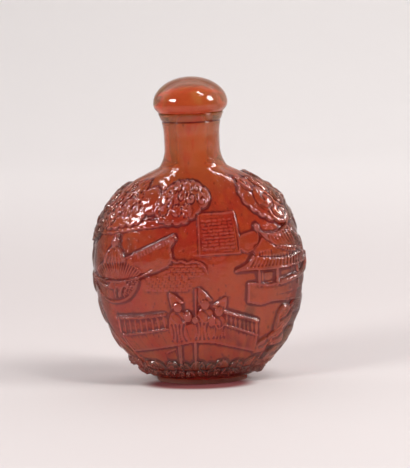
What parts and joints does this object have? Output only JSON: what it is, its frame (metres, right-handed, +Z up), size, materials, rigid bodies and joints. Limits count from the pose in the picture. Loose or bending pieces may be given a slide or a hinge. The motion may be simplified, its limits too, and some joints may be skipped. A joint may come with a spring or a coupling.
{
  "type": "snuff bottle",
  "caption": "Flattened round amber snuff bottle carved all round with a lake landscape, hollow, with a domed lift-out stopper.",
  "frame": {"origin": "middle of the foot's underside, on the surface the bottle stands on", "axes": "+Z up through the mouth, the carved panel faces -Y, the broad width lies along X"},
  "size_m": [0.0557, 0.0267, 0.078],
  "materials": {
    "carved_amber": "translucent red-brown amber, polished over shallow carving",
    "polished_amber": "translucent red-brown amber, highly polished"
  },
  "bodies": {
    "root": {"bottle": "carved_amber", "stopper": "polished_amber"}
  },
  "joints": []
}
